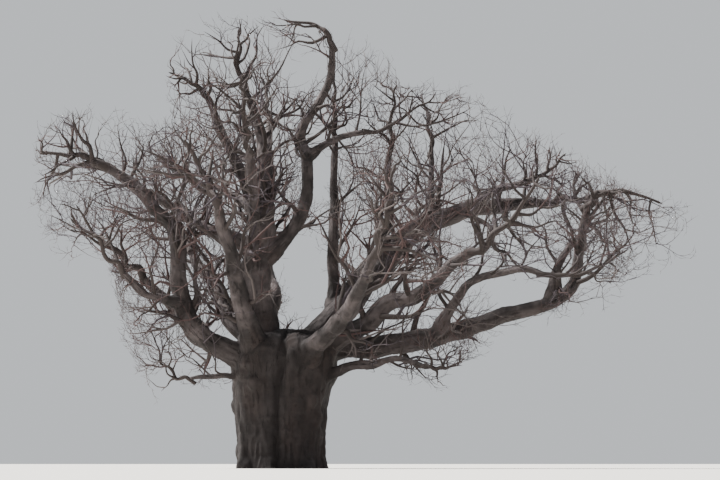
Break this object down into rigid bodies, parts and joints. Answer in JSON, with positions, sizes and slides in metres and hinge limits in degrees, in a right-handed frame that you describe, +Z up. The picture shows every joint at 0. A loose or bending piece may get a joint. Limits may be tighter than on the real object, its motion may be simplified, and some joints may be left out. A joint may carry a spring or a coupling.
{
  "type": "leafless baobab tree",
  "caption": "Leafless baobab with a stout cylindrical trunk that divides low down into arching boughs, a taller middle stem and a wide crown of bare twigs reaching further to the right.",
  "frame": {"origin": "centre of the flat cut under the trunk, at ground level", "axes": "+Z up the trunk, +X to the right as seen from the front, where the crown reaches furthest, +Y away from the front view"},
  "size_m": [24.6965, 19.0173, 17.1391],
  "materials": {
    "trunk_bark": "matte fissured bark",
    "bough_bark": "matte wrinkled bark",
    "twig_bark": "matte reddish grey twigs"
  },
  "bodies": {
    "root": {"trunk": "trunk_bark", "stem_middle": "bough_bark", "bough_left_low_lower": "bough_bark", "bough_left_low_upper": "bough_bark", "bough_left_side": "bough_bark", "bough_left_rear": "bough_bark", "bough_left_lowest": "bough_bark", "bough_front_left": "bough_bark", "bough_front": "bough_bark", "bough_front_right": "bough_bark", "bough_right_drooping": "bough_bark", "bough_right_low_lower": "bough_bark", "bough_right_low_upper": "bough_bark", "bough_right_inner": "bough_bark", "bough_right_arch": "bough_bark", "bough_right_big_lower": "bough_bark", "bough_right_big_upper": "bough_bark", "bough_right_outer": "bough_bark", "bough_right_upper": "bough_bark", "bough_right_fork": "bough_bark", "bough_rear_right": "bough_bark", "bough_upright": "bough_bark", "bough_rear": "bough_bark", "bough_rear_left": "bough_bark", "bough_left_high": "bough_bark", "fork_front": "bough_bark", "fork_right_lower": "bough_bark", "fork_right_upper": "bough_bark", "fork_right_out": "bough_bark", "fork_left": "bough_bark", "fork_left_inner": "bough_bark", "fork_rear": "bough_bark", "fork_middle": "bough_bark", "twigs_left_low": "twig_bark", "twigs_left_side": "twig_bark", "twigs_left_rear": "twig_bark", "twigs_left_lowest": "twig_bark", "twigs_front_left": "twig_bark", "twigs_front": "twig_bark", "twigs_front_right": "twig_bark", "twigs_right_drooping": "twig_bark", "twigs_right_low": "twig_bark", "twigs_right_inner": "twig_bark", "twigs_right_arch": "twig_bark", "twigs_right_big": "twig_bark", "twigs_right_outer": "twig_bark", "twigs_right_upper": "twig_bark", "twigs_right_fork": "twig_bark", "twigs_rear_right": "twig_bark", "twigs_upright": "twig_bark", "twigs_rear": "twig_bark", "twigs_rear_left": "twig_bark", "twigs_left_high": "twig_bark", "twigs_fork_front": "twig_bark", "twigs_fork_right": "twig_bark", "twigs_fork_right_out": "twig_bark", "twigs_fork_left": "twig_bark", "twigs_fork_left_inner": "twig_bark", "twigs_fork_rear": "twig_bark", "twigs_fork_middle": "twig_bark"}
  },
  "joints": []
}
